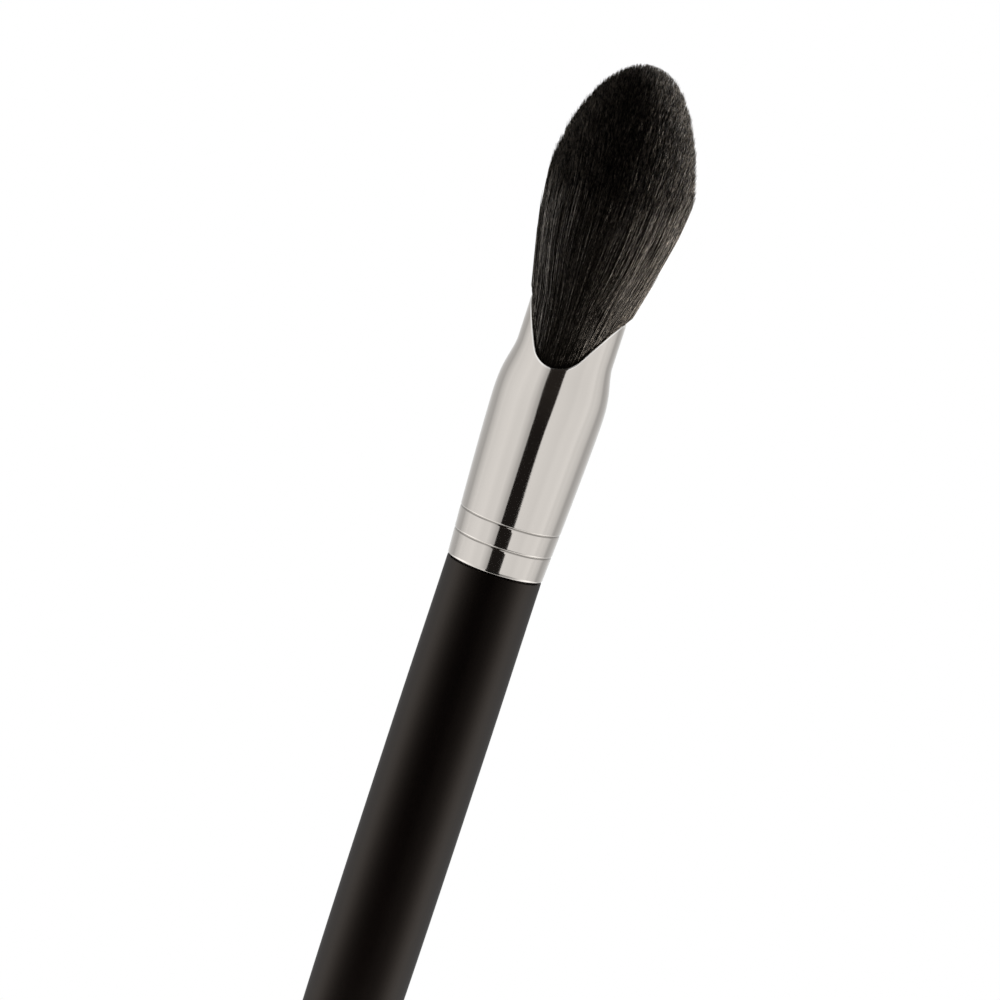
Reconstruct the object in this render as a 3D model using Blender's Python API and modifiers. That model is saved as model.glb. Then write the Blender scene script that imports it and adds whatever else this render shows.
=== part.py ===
"""A powder brush: turned wooden handle, rolled metal ferrule with a scalloped mouth, and a flame-shaped
tuft of hair with its binding, its root resin and the cement that holds the handle's tenon.

Metres, +Z along the brush towards the hair. The origin is the centre of the handle's end face.
The scallops of the ferrule's mouth face -Y and +Y, and the tongues between them lie at -X and +X.
"""

import math

import bmesh
import bpy
from mathutils import Vector

# Handle, measured from its end face
HANDLE_LENGTH = 0.124
HANDLE_TOP_RADIUS = 0.00747
GRIP_RADIUS = 0.00757
GRIP_HEIGHT = 0.097
TAPER_EASE = 3.5
END_RADIUS = 0.0049
END_ROUND = 0.0035
END_FACE_RADIUS = 0.0026
TENON_CHAMFER = 0.0006

# Gap kept between pieces that touch on the real brush
FIT_GAP = 0.0003

# Ferrule, measured upwards from its lower edge
FERRULE_LENGTH = 0.0415
FERRULE_WALL = 0.00045
BASE_RADIUS = 0.0075
BELLY_RADIUS = 0.00866
FLARE_EASE = 1.25
SHOULDER_LENGTH = 0.0088
SHOULDER_EASE = 1.5
NECK_RADIUS = 0.00756
NECK_LENGTH = 0.0068
LOWER_CRIMP_HEIGHT = 0.004
CRIMP_SPACING = 0.0036
CRIMP_WIDTH = 0.0005
CRIMP_DEPTH = 0.00012
PINCH = 0.87
PINCH_BELOW_BELLY = 0.004
SCALLOP_DEPTH = 0.0088
SCALLOP_RADIUS = 0.0045
TONGUE_INSET = 0.0001
TRIM = 0.001

# What the ferrule holds, from the roots down to the tenon
ROOT_BELOW_SCALLOP = 0.0027
ROOT_LENGTH = 0.008
RESIN_FLOOR = 0.0015
RESIN_RIM = 0.0027
CEMENT_CAP = 0.0016
CEMENT_ABOVE_CRIMP = 0.002
THREAD_RADIUS = 0.00025
THREAD_PITCH = 0.001
THREAD_TURNS = 3
THREAD_BELOW_ROOT_TOP = 0.0012

# Hair, measured upwards from the tips of the ferrule's tongues
HEAD_LENGTH = 0.0397
HEAD_RADIUS = 0.0116
HEAD_WIDEST_HEIGHT = 0.018
HEAD_FLATNESS = 0.87
HEAD_BEND_HEIGHT = 0.011
HEAD_FLARE_EASE = 1.1
HEAD_POINT_EASE = 0.585
BRISTLE_SECTORS = 5
BRISTLE_ROWS = 8
BRISTLE_FILL = 0.66
BRISTLE_TIP_FILL = 0.42
BRISTLE_INSET = 0.00003

# Fineness of the solids
SIDES = 40
FLARE_STEPS = 4
SHOULDER_STEPS = 8
TAPER_STEPS = 7
ROUND_STEPS = 5
SCALLOP_STEPS = 12
THREAD_POINTS_PER_TURN = 24
MERGE_DISTANCE = 0.00001
SHARP_ANGLE = math.radians(35)
HALVINGS = 30

# Places that follow from the sizes
JOINT = HANDLE_LENGTH + FIT_GAP
NECK_HEIGHT = FERRULE_LENGTH - NECK_LENGTH
BELLY_HEIGHT = NECK_HEIGHT - SHOULDER_LENGTH
PINCH_HEIGHT = BELLY_HEIGHT - PINCH_BELOW_BELLY
UPPER_CRIMP_HEIGHT = LOWER_CRIMP_HEIGHT + CRIMP_SPACING
SCALLOP_HEIGHT = FERRULE_LENGTH - SCALLOP_DEPTH
ROOT_TOP = SCALLOP_HEIGHT - ROOT_BELOW_SCALLOP
ROOT_BOTTOM = ROOT_TOP - ROOT_LENGTH
RESIN_BOTTOM = ROOT_BOTTOM - FIT_GAP - RESIN_FLOOR
CEMENT_TOP = RESIN_BOTTOM - FIT_GAP
TENON_TOP = CEMENT_TOP - CEMENT_CAP - FIT_GAP
TENON_RADIUS = BASE_RADIUS - FERRULE_WALL - FIT_GAP
MOUTH_HALF_WIDTH = NECK_RADIUS - FERRULE_WALL
MOUTH_HALF_DEPTH = MOUTH_HALF_WIDTH * PINCH
ROOT_RADIUS = MOUTH_HALF_DEPTH - FIT_GAP


def smoothstep(share):
    share = min(max(share, 0.0), 1.0)
    return share * share * (3 - 2 * share)


def blend(start, end, share):
    return start + (end - start) * share


def steps(start, end, count):
    return [blend(start, end, index / count) for index in range(count + 1)]


def handle_radius(height):
    """The handle's taper: quick at the end, almost parallel in the grip, a little in at the joint."""
    if height >= GRIP_HEIGHT:
        share = (height - GRIP_HEIGHT) / (HANDLE_LENGTH - GRIP_HEIGHT)
        return blend(GRIP_RADIUS, HANDLE_TOP_RADIUS, smoothstep(share))
    return blend(END_RADIUS, GRIP_RADIUS, 1 - (1 - height / GRIP_HEIGHT) ** TAPER_EASE)


def ferrule_radius(height):
    """The ferrule's outside before it is pinched: flare, belly, shoulder and parallel neck."""
    if height <= BELLY_HEIGHT:
        return blend(BASE_RADIUS, BELLY_RADIUS, 1 - (1 - height / BELLY_HEIGHT) ** FLARE_EASE)
    share = min((height - BELLY_HEIGHT) / SHOULDER_LENGTH, 1.0)
    return blend(BELLY_RADIUS, NECK_RADIUS, smoothstep(share**SHOULDER_EASE))


def pinch(height):
    """How much the ferrule is flattened from front to back at a height."""
    return blend(1.0, PINCH, smoothstep((height - PINCH_HEIGHT) / (NECK_HEIGHT - PINCH_HEIGHT)))


def head_radius(height):
    """Half the head's width at a height above the ferrule's tips."""
    if height < HEAD_WIDEST_HEIGHT:
        share = height / HEAD_WIDEST_HEIGHT
        return blend(NECK_RADIUS, HEAD_RADIUS, 1 - (1 - share) ** HEAD_FLARE_EASE)
    share = (height - HEAD_WIDEST_HEIGHT) / (HEAD_LENGTH - HEAD_WIDEST_HEIGHT)
    return HEAD_RADIUS * max(1 - share**2, 0.0) ** HEAD_POINT_EASE


def material(name, color, roughness, metallic=0.0):
    made = bpy.data.materials.new(name)
    made.use_nodes = True
    shader = made.node_tree.nodes["Principled BSDF"]
    shader.inputs["Base Color"].default_value = (*color, 1.0)
    shader.inputs["Roughness"].default_value = roughness
    shader.inputs["Metallic"].default_value = metallic
    return made


def place(name, mesh, finish, collection, parent=None):
    """Puts a mesh in the scene as one named piece."""
    piece = bpy.data.objects.new(name, mesh)
    collection.objects.link(piece)
    piece.data.materials.append(finish)
    piece.parent = parent
    return piece


def evaluated(piece):
    """The piece with its modifiers made real, shaded smooth but for its edges."""
    bpy.context.view_layer.update()
    graph = bpy.context.evaluated_depsgraph_get()
    mesh = bpy.data.meshes.new_from_object(piece.evaluated_get(graph))
    piece.modifiers.clear()
    piece.data = mesh
    mesh.shade_smooth()
    mesh.set_sharp_from_angle(angle=SHARP_ANGLE)
    return piece


def turned(name, outline, finish, collection, parent=None, closed=False):
    """A solid turned about the brush's axis. The outline of (radius, height) runs down its outer side."""
    mesh = bpy.data.meshes.new(name)
    profile = bmesh.new()
    points = [profile.verts.new((radius, 0, height)) for radius, height in outline]
    for upper, lower in zip(points, points[1:]):
        profile.edges.new((upper, lower))
    if closed:
        profile.edges.new((points[-1], points[0]))
    profile.to_mesh(mesh)
    profile.free()
    piece = place(name, mesh, finish, collection, parent)
    screw = piece.modifiers.new("turn", "SCREW")
    screw.axis = "Z"
    screw.angle = math.tau
    screw.steps = SIDES
    screw.render_steps = SIDES
    screw.use_merge_vertices = True
    screw.merge_threshold = MERGE_DISTANCE
    return evaluated(piece)


def squeeze(piece):
    """Flattens a turned piece from front to back as the ferrule's neck is."""
    for vertex in piece.data.vertices:
        vertex.co.y *= pinch(vertex.co.z)


def crimp(height, radius_at, depth):
    """Four points of a rolled groove, from its upper edge to its lower edge. Its floor is flat
    over the middle third of its width."""
    edge = CRIMP_WIDTH / 2
    floor = CRIMP_WIDTH / 6
    offsets = ((edge, 0.0), (floor, depth), (-floor, depth), (-edge, 0.0))
    return [(radius_at(height + rise) - inward, height + rise) for rise, inward in offsets]


def make_handle(finish, collection):
    """The handle with its rounded end, and the tenon that goes up into the ferrule."""
    tenon_top = JOINT + TENON_TOP
    outline = [
        (0.0, tenon_top),
        (TENON_RADIUS - TENON_CHAMFER, tenon_top),
        (TENON_RADIUS, tenon_top - TENON_CHAMFER),
        (TENON_RADIUS, HANDLE_LENGTH),
    ]
    outline += [(handle_radius(z), z) for z in steps(HANDLE_LENGTH, GRIP_HEIGHT, 2)[:-1]]
    outline += [(handle_radius(z), z) for z in steps(GRIP_HEIGHT, END_ROUND, TAPER_STEPS)[:-1]]
    side = handle_radius(END_ROUND)
    for angle in steps(math.pi / 2, 0.0, ROUND_STEPS):
        radius = blend(END_FACE_RADIUS, side, math.sin(angle))
        outline.append((radius, END_ROUND * (1 - math.cos(angle))))
    outline.append((0.0, 0.0))
    return turned("handle", outline, finish, collection)


def make_scallop_cutter(finish, collection, parent):
    """A prism along Y whose lower side is the scallop: a round bottom and two straight flanks
    that touch it and reach the tips of the tongues."""
    tip = Vector((NECK_RADIUS - TONGUE_INSET, FERRULE_LENGTH))
    centre = Vector((0.0, SCALLOP_HEIGHT + SCALLOP_RADIUS))
    reach = tip - centre
    flank = math.atan2(reach.y, reach.x) - math.acos(SCALLOP_RADIUS / reach.length)
    outline = []
    for angle in steps(-math.pi - flank, flank, SCALLOP_STEPS):
        outline.append(centre + SCALLOP_RADIUS * Vector((math.cos(angle), math.sin(angle))))
    side = BELLY_RADIUS + TRIM
    above = FERRULE_LENGTH + TRIM * 2
    outline += [tip, Vector((side, tip.y)), Vector((side, above))]
    outline += [Vector((-side, above)), Vector((-side, tip.y)), Vector((-tip.x, tip.y))]
    shape = bmesh.new()
    corners = [shape.verts.new((point.x, -side, point.y)) for point in outline]
    face = shape.faces.new(corners)
    pushed = bmesh.ops.extrude_face_region(shape, geom=[face])["geom"]
    moved = [item for item in pushed if isinstance(item, bmesh.types.BMVert)]
    bmesh.ops.translate(shape, verts=moved, vec=(0.0, side * 2, 0.0))
    bmesh.ops.recalc_face_normals(shape, faces=shape.faces)
    mesh = bpy.data.meshes.new("scallop_cutter")
    shape.to_mesh(mesh)
    shape.free()
    cutter = place("scallop_cutter", mesh, finish, collection, parent)
    cutter.hide_render = True
    cutter.display_type = "WIRE"
    return cutter


def make_ferrule(finish, collection, cutters, parent):
    """The tube: flare, two rolled grooves, belly, shoulder, pinched neck and scalloped mouth."""

    def inside(height):
        return ferrule_radius(height) - FERRULE_WALL

    def bite(height):
        return inside(height) - TENON_RADIUS - FIT_GAP

    crimp_top = UPPER_CRIMP_HEIGHT + CRIMP_WIDTH / 2
    heights = [FERRULE_LENGTH + TRIM]
    heights += steps(NECK_HEIGHT, BELLY_HEIGHT, SHOULDER_STEPS)
    heights += steps(BELLY_HEIGHT, crimp_top, FLARE_STEPS)[1:-1]
    crimps = (UPPER_CRIMP_HEIGHT, LOWER_CRIMP_HEIGHT)
    outer = [(ferrule_radius(z), z) for z in heights]
    inner = [(inside(z), z) for z in heights]
    for height in crimps:
        outer += crimp(height, ferrule_radius, CRIMP_DEPTH)
        inner += crimp(height, inside, bite(height))
    outer.append((BASE_RADIUS, 0.0))
    inner.append((inside(0.0), 0.0))
    ferrule = turned("ferrule", outer + inner[::-1], finish, collection, parent, closed=True)
    squeeze(ferrule)
    cut = ferrule.modifiers.new("scallops", "BOOLEAN")
    cut.operation = "DIFFERENCE"
    cut.solver = "EXACT"
    cut.object = make_scallop_cutter(finish, cutters, parent)
    return ferrule


def make_tenon_cement(finish, collection, parent):
    """The cement: a cap over the tenon's end and a wedge between the tenon and the flared ferrule."""
    gap = FERRULE_WALL + FIT_GAP
    bottom = UPPER_CRIMP_HEIGHT + CEMENT_ABOVE_CRIMP
    outer = [(ferrule_radius(z) - gap, z) for z in steps(CEMENT_TOP, bottom, 2)]
    bore = TENON_RADIUS + FIT_GAP
    roof = TENON_TOP + FIT_GAP
    outline = [(0.0, CEMENT_TOP)] + outer + [(bore, bottom), (bore, roof), (0.0, roof)]
    return turned("tenon_cement", outline, finish, collection, parent)


def make_root_resin(finish, collection, parent):
    """The resin block, hollowed where the root end of the tuft sits in it."""
    gap = FERRULE_WALL + FIT_GAP
    floor = RESIN_BOTTOM + RESIN_FLOOR
    rim = floor + RESIN_RIM
    outer = [(ferrule_radius(z) - gap, z) for z in steps(rim, RESIN_BOTTOM, 2)]
    well = ROOT_RADIUS + FIT_GAP
    outline = [(0.0, floor), (well, floor), (well, rim)] + outer + [(0.0, RESIN_BOTTOM)]
    resin = turned("root_resin", outline, finish, collection, parent)
    squeeze(resin)
    return resin


def make_binding_thread(finish, collection, parent):
    """The thread wound round the tuft's root end, a helix of one unbroken tube."""
    radius = ROOT_RADIUS + FIT_GAP + THREAD_RADIUS
    top = ROOT_TOP - THREAD_BELOW_ROOT_TOP
    count = THREAD_TURNS * THREAD_POINTS_PER_TURN
    points = []
    for index in range(count + 1):
        angle = math.tau * index / THREAD_POINTS_PER_TURN
        height = top - THREAD_PITCH * index / THREAD_POINTS_PER_TURN
        points.append(Vector((radius * math.cos(angle), radius * math.sin(angle), height)))
    apart = THREAD_POINTS_PER_TURN // 2
    nearest = min(
        (points[first] - points[second]).length
        for first in range(len(points))
        for second in range(first + apart, len(points))
    )
    print(f"binding thread: least gap to itself {(nearest - THREAD_RADIUS * 2) * 1000:.3f} mm")
    curve = bpy.data.curves.new("binding_thread", "CURVE")
    curve.dimensions = "3D"
    curve.bevel_depth = THREAD_RADIUS
    curve.bevel_resolution = 1
    curve.render_resolution_u = 0
    curve.use_fill_caps = True
    spline = curve.splines.new("POLY")
    spline.points.add(count)
    for point, place_of in zip(spline.points, points):
        point.co = (*place_of, 1.0)
    return place("binding_thread", curve, finish, collection, parent)


def bristle_end(share):
    """Where a bristle meets the head's rounded top: its height and its spread, found by halving.
    A bristle with share 1 is outermost, and one with share 0 stands on the axis."""
    low = HEAD_BEND_HEIGHT
    high = HEAD_LENGTH
    for _ in range(HALVINGS):
        middle = (low + high) / 2
        if share * fan_radius(middle) < head_radius(middle):
            low = middle
        else:
            high = middle
    return low


def fan_radius(height):
    """Half the width of the fan of bristles above their bend, as if none of them ended."""
    share = (height - HEAD_BEND_HEIGHT) / (HEAD_WIDEST_HEIGHT - HEAD_BEND_HEIGHT)
    return blend(head_radius(HEAD_BEND_HEIGHT), HEAD_RADIUS, share)


def extend(shape, faces, spread, goal):
    """Draws each bristle on from its present end face. The spread of the present end, across and
    deep, gives the bristle's place at the root, and goal() gives its next end from that place."""
    faces = bmesh.ops.extrude_discrete_faces(shape, faces=faces)["faces"]
    for face in faces:
        middle = face.calc_center_median()
        root = Vector((middle.x / spread[0], middle.y / spread[1]))
        target, growth = goal(root)
        for vertex in face.verts:
            offset = vertex.co - middle
            vertex.co = target + offset * growth
    return faces


def make_bristles(finish, collection, parent):
    """The tuft: one three-sided bristle from each cell of a round lattice on the root's top face.
    The bristles run straight up inside the ferrule, fan out above its tips and end on the head's
    outline. The fan only widens, so no two bristles cross."""
    shape = bmesh.new()
    bmesh.ops.create_circle(
        shape, cap_ends=True, cap_tris=True, segments=BRISTLE_SECTORS, radius=ROOT_RADIUS
    )
    bmesh.ops.subdivide_edges(
        shape, edges=shape.edges[:], cuts=BRISTLE_ROWS - 1, use_grid_fill=True
    )
    half_sector = math.pi / BRISTLE_SECTORS
    for vertex in shape.verts:
        angle = math.atan2(vertex.co.x, vertex.co.y) % (half_sector * 2)
        vertex.co *= math.cos(angle - half_sector) / math.cos(half_sector)
        vertex.co.z = ROOT_TOP
    cells = shape.faces[:]
    rim = [edge for edge in shape.edges if edge.is_boundary]
    skirt = bmesh.ops.extrude_edge_only(shape, edges=rim)["geom"]
    lower = [item for item in skirt if isinstance(item, bmesh.types.BMVert)]
    bmesh.ops.translate(shape, verts=lower, vec=(0.0, 0.0, -ROOT_LENGTH))
    bmesh.ops.contextual_create(
        shape, geom=[item for item in skirt if isinstance(item, bmesh.types.BMEdge)]
    )
    bmesh.ops.inset_individual(shape, faces=cells, thickness=BRISTLE_INSET)
    for face in cells:
        middle = face.calc_center_median()
        for vertex in face.verts:
            vertex.co = blend(middle, vertex.co, BRISTLE_FILL)

    mouth = ((MOUTH_HALF_WIDTH - FIT_GAP) / ROOT_RADIUS, (MOUTH_HALF_DEPTH - FIT_GAP) / ROOT_RADIUS)
    bend = head_radius(HEAD_BEND_HEIGHT) / ROOT_RADIUS
    bent = (bend, bend * HEAD_FLATNESS)
    outermost = 1 - 1 / (3 * BRISTLE_ROWS)  # the outer row's middles, as a share of the root

    def to_mouth(root):
        return Vector((root.x * mouth[0], root.y * mouth[1], FERRULE_LENGTH)), 1.0

    def to_bend(root):
        height = FERRULE_LENGTH + HEAD_BEND_HEIGHT
        return Vector((root.x * bent[0], root.y * bent[1], height)), bent[1] / mouth[1]

    def to_end(root):
        share = root.length / ROOT_RADIUS / outermost
        height = bristle_end(share)
        spread = fan_radius(height) / ROOT_RADIUS / outermost
        target = Vector((root.x * spread, root.y * spread * HEAD_FLATNESS, FERRULE_LENGTH + height))
        return target, BRISTLE_TIP_FILL / BRISTLE_FILL

    ends = extend(shape, cells, (1.0, 1.0), to_mouth)
    ends = extend(shape, ends, mouth, to_bend)
    extend(shape, ends, bent, to_end)
    bmesh.ops.recalc_face_normals(shape, faces=shape.faces)
    print(f"bristles: {len(cells)} strands")
    mesh = bpy.data.meshes.new("bristles")
    shape.to_mesh(mesh)
    shape.free()
    return place("bristles", mesh, finish, collection, parent)


def main():
    for old in list(bpy.data.objects):
        bpy.data.objects.remove(old, do_unlink=True)
    parts = bpy.data.collections.new("powder_brush")
    cutters = bpy.data.collections.new("cutters")
    bpy.context.scene.collection.children.link(parts)
    bpy.context.scene.collection.children.link(cutters)

    lacquer = material("black_lacquer", (0.012, 0.011, 0.010), 0.38)
    nickel = material("polished_nickel", (0.66, 0.63, 0.59), 0.16, 1.0)
    hair = material("black_hair", (0.010, 0.009, 0.009), 0.55)
    resin = material("amber_resin", (0.45, 0.30, 0.12), 0.3)
    thread = material("waxed_thread", (0.75, 0.70, 0.60), 0.8)
    cement = material("white_cement", (0.72, 0.70, 0.64), 0.6)

    joint = bpy.data.objects.new("joint", None)
    joint.location = (0.0, 0.0, JOINT)
    parts.objects.link(joint)

    make_handle(lacquer, parts)
    make_ferrule(nickel, parts, cutters, joint)
    make_tenon_cement(cement, parts, joint)
    make_root_resin(resin, parts, joint)
    make_binding_thread(thread, parts, joint)
    make_bristles(hair, parts, joint)


main()
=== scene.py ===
# %% [markdown]
# A powder brush, dressed for a studio picture.
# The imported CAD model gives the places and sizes. This lesson turns its plain solids into a brush
# with a lacquered handle, a polished ferrule and a full head of hair, and lights it like a shop
# picture.

import math

import bmesh
import bpy
import numpy as np
from mathutils import Matrix, Vector
from mathutils.kdtree import KDTree


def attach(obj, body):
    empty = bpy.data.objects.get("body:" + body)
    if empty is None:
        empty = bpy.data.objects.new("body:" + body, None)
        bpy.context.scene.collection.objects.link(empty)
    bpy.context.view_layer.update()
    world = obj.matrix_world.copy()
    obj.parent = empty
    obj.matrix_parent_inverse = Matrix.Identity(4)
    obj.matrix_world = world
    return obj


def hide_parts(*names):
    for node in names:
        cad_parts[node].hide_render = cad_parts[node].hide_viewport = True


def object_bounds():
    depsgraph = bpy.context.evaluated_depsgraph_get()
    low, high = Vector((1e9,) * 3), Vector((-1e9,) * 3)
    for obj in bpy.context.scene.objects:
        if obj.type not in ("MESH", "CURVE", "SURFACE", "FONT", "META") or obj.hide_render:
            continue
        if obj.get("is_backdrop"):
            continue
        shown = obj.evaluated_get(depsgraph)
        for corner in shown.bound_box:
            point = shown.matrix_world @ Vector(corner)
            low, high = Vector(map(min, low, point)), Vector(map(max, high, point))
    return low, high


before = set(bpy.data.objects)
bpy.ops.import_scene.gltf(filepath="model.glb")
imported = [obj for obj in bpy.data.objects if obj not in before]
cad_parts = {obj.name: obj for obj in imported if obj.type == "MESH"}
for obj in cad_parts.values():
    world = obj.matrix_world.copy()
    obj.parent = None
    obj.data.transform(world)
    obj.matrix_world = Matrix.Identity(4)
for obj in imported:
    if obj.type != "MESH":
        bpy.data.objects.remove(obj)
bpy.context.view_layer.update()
print("packed pieces:", ", ".join(sorted(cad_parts)))

# %% [markdown]
# The brush stands on its end, and its axis is the Z axis. Sizes are in metres and repeat those of
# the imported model. The outlines are curves between a few known widths. Numpy makes each formula
# work on one height or on thousands of them, so the ferrule and the hair can share it.


# %% Easing between two values
def smoothstep(share):
    share = np.clip(share, 0.0, 1.0)
    return share * share * (3 - 2 * share)


def blend(start, end, share):
    return start + (end - start) * share


print("a quarter of the way, smoothly:", float(smoothstep(0.25)))

# %% [markdown]
# The handle is thin at its end, fullest at the grip and a little slimmer again at the ferrule.

# %% Outline of the handle
HANDLE_LENGTH = 0.124
HANDLE_TOP_RADIUS = 0.00747
GRIP_RADIUS = 0.00757
GRIP_HEIGHT = 0.097
TAPER_EASE = 3.5
END_RADIUS = 0.0049


def handle_radius(height):
    to_grip = 1 - np.clip(1 - height / GRIP_HEIGHT, 0, 1) ** TAPER_EASE
    lower = blend(END_RADIUS, GRIP_RADIUS, to_grip)
    upper = smoothstep((height - GRIP_HEIGHT) / (HANDLE_LENGTH - GRIP_HEIGHT))
    return np.where(height < GRIP_HEIGHT, lower, blend(GRIP_RADIUS, HANDLE_TOP_RADIUS, upper))


print("handle radius at end, grip and top in mm:",
      [round(float(handle_radius(h)) * 1000, 2) for h in (0.0, GRIP_HEIGHT, HANDLE_LENGTH)])

# %% [markdown]
# The ferrule flares to a belly and necks in to its mouth, where it is pressed slightly oval.
# Heights on it are counted from its lower edge, which lies at the joint, just above the handle's
# top.

# %% Outline of the ferrule
JOINT = 0.1243
FERRULE_LENGTH = 0.0415
BASE_RADIUS = 0.0075
BELLY_RADIUS = 0.00866
BELLY_HEIGHT = 0.0259
FLARE_EASE = 1.25
SHOULDER_EASE = 1.5
NECK_RADIUS = 0.00756
NECK_HEIGHT = 0.0347
PINCH = 0.87
PINCH_HEIGHT = 0.0219


def ferrule_radius(height):
    flare = 1 - np.clip(1 - height / BELLY_HEIGHT, 0, 1) ** FLARE_EASE
    shoulder = np.clip((height - BELLY_HEIGHT) / (NECK_HEIGHT - BELLY_HEIGHT), 0, 1)
    lower = blend(BASE_RADIUS, BELLY_RADIUS, flare)
    upper = blend(BELLY_RADIUS, NECK_RADIUS, smoothstep(shoulder**SHOULDER_EASE))
    return np.where(height < BELLY_HEIGHT, lower, upper)


def pinch(height):
    share = smoothstep((height - PINCH_HEIGHT) / (NECK_HEIGHT - PINCH_HEIGHT))
    return blend(1.0, PINCH, share)


print("ferrule radius at base, belly and neck in mm:",
      [round(float(ferrule_radius(h)) * 1000, 2) for h in (0.0, BELLY_HEIGHT, NECK_HEIGHT)])

# %% [markdown]
# Each scallop of the mouth is a round bowl with two straight flanks, which run up to the tongues.

# %% The curve of the scalloped mouth
SCALLOP_HEIGHT = 0.0327
SCALLOP_RADIUS = 0.0045
TONGUE_INSET = 0.0001


def mouth_rim(sideways):
    """Height of the ferrule's rim at a distance to the left or right of the brush's middle."""
    sideways = np.abs(sideways)
    centre = SCALLOP_HEIGHT + SCALLOP_RADIUS
    across, up = NECK_RADIUS - TONGUE_INSET, FERRULE_LENGTH - centre
    reach = math.hypot(across, up)
    flank = math.atan2(up, across) - math.acos(SCALLOP_RADIUS / reach)
    touch = SCALLOP_RADIUS * math.cos(flank), centre + SCALLOP_RADIUS * math.sin(flank)
    slope = (FERRULE_LENGTH - touch[1]) / (across - touch[0])
    bowl = centre - np.sqrt(np.clip(SCALLOP_RADIUS**2 - sideways**2, 0, None))
    straight = np.minimum(touch[1] + slope * (sideways - touch[0]), FERRULE_LENGTH)
    return np.where(sideways < touch[0], bowl, straight)


print("rim height in the middle, half-way and at a tongue in mm:",
      [round(float(mouth_rim(x)) * 1000, 1) for x in (0.0, 0.004, NECK_RADIUS)])

# %% [markdown]
# The camera comes first, because the light is set up from where it stands. A long lens far away
# keeps the sides of the brush parallel. The camera is rolled, so that the upright brush leans to
# the right in the picture, and it aims at a point just above the joint of handle and ferrule.

# %% Camera
CAMERA_AZIMUTH = math.radians(11.0)
CAMERA_ELEVATION = math.radians(9.2)
CAMERA_ROLL = math.radians(18.12)
CAMERA_DISTANCE = 1.2
PICTURE_WIDTH = 0.15203
AIM_RIGHT, AIM_UP = 0.00075, 0.01009
SENSOR_WIDTH = 36.0

to_camera = Vector((
    math.sin(CAMERA_AZIMUTH) * math.cos(CAMERA_ELEVATION),
    -math.cos(CAMERA_AZIMUTH) * math.cos(CAMERA_ELEVATION),
    math.sin(CAMERA_ELEVATION),
))
upright = to_camera.to_track_quat("Z", "Y").to_matrix().to_4x4()
turn = upright @ Matrix.Rotation(CAMERA_ROLL, 4, "Z")
aim = Vector((0, 0, JOINT)) + turn.to_3x3() @ Vector((AIM_RIGHT, AIM_UP, 0))
camera_data = bpy.data.cameras.new("camera")
camera_data.sensor_width = SENSOR_WIDTH
camera_data.lens = SENSOR_WIDTH * CAMERA_DISTANCE / PICTURE_WIDTH
camera = bpy.data.objects.new("camera", camera_data)
bpy.context.scene.collection.objects.link(camera)
camera.matrix_world = Matrix.Translation(aim + to_camera * CAMERA_DISTANCE) @ turn
bpy.context.scene.camera = camera
bpy.context.scene.view_settings.view_transform = "Standard"
print("lens in mm:", round(camera_data.lens))

# %% [markdown]
# A material is a small network of nodes. The first helper adds one node, sets its options and fills
# its sockets: a number or colour is written in, and another node's socket is wired up. The others
# are short ways to write the nodes that every material here uses.


# %% Node helpers
def node(tree, kind, sockets=None, **options):
    made = tree.nodes.new("ShaderNode" + kind)
    for name, value in options.items():
        setattr(made, name, value)
    for name, value in (sockets or {}).items():
        if isinstance(value, bpy.types.NodeSocket):
            tree.links.new(value, made.inputs[name])
        else:
            made.inputs[name].default_value = value
    return made


def math_node(tree, operation, *values):
    return node(tree, "Math", dict(enumerate(values)), operation=operation).outputs[0]


def ranged(tree, value, start, end, low=0.0, high=1.0, curve="LINEAR"):
    """Turns a number from start to end into one from low to high."""
    sockets = {"Value": value, "From Min": start, "From Max": end, "To Min": low, "To Max": high}
    return node(tree, "MapRange", sockets, interpolation_type=curve).outputs[0]


def mixed(tree, share, first, second):
    colours = {"Fac": share, "Color1": first, "Color2": second}
    return node(tree, "MixRGB", colours).outputs[0]


def ramp(tree, share, stops):
    """A grey colour ramp from a table of place and brightness."""
    made = node(tree, "ValToRGB", {"Fac": share})
    elements = made.color_ramp.elements
    elements[0].position, elements[1].position = stops[0][0], stops[-1][0]
    for place, _ in stops[1:-1]:
        elements.new(place)
    for element, (_, grey) in zip(elements, stops):
        element.color = (grey, grey, grey, 1)
    return made.outputs["Color"]


# %% [markdown]
# The light is a white tent that is dark on the camera's side, as around a real product table: black
# lacquer and black hair then show a dark front and brighter sides. The table gives the tent's
# brightness at some directions, in degrees to the right (positive) and left of the camera.

# %% Tent brightness by direction
TENT = {
    -180: 0.26, -143: 0.26, -116: 0.52, -97: 0.86, -81: 0.80, -67: 0.48, -53: 0.24, -41: 0.11,
    -29: 0.05, -18: 0.012, 8: 0.012, 18: 0.06, 29: 0.085, 41: 0.12, 53: 0.245, 67: 0.50,
    81: 0.83, 97: 0.90, 116: 0.56, 143: 0.26, 180: 0.26,
}


def direction_share(tree, vector):
    """0 to 1 round the brush: 0.5 towards the camera, more to its right."""
    about_axis = {"Vector": vector, "Angle": -CAMERA_AZIMUTH}
    turned = node(tree, "VectorRotate", about_axis, rotation_type="Z_AXIS")
    parts = node(tree, "SeparateXYZ", {"Vector": turned.outputs[0]}).outputs
    ahead = math_node(tree, "MULTIPLY", parts["Y"], -1.0)
    angle = math_node(tree, "ARCTAN2", parts["X"], ahead)
    return ranged(tree, angle, -math.pi, math.pi)


def stops_of(table):
    return [(degrees / 360 + 0.5, table[degrees]) for degrees in sorted(table)]


print("tent:", len(TENT), "directions")

# %% [markdown]
# The world holds the tent. Its top is nearly dark, so that the tip of the hair stays black. The
# camera itself sees plain white.

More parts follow.
